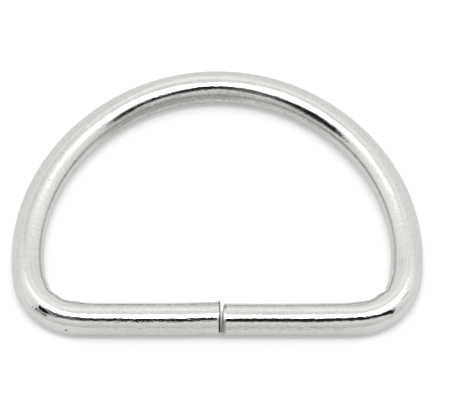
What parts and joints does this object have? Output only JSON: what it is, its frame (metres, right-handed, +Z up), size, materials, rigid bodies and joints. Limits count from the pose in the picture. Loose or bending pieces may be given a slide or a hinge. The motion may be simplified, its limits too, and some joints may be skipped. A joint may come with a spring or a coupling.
{
  "type": "d ring",
  "caption": "Bent-wire D ring: a straight bar for a strap, tightly bent corners and an arched crown, with an unwelded butt joint in the bar.",
  "frame": {"origin": "centre of the ring's outline, on the surface that it lies flat on", "axes": "+X along the straight bar, +Y from the bar towards the crown, +Z up out of the ring's plane"},
  "size_m": [0.038, 0.028, 0.003],
  "materials": {
    "nickel_plate": "bright nickel plating on drawn steel wire, slightly grainy, with bending-tool marks inside the corners"
  },
  "bodies": {
    "root": {"d_ring": "nickel_plate"}
  },
  "joints": []
}
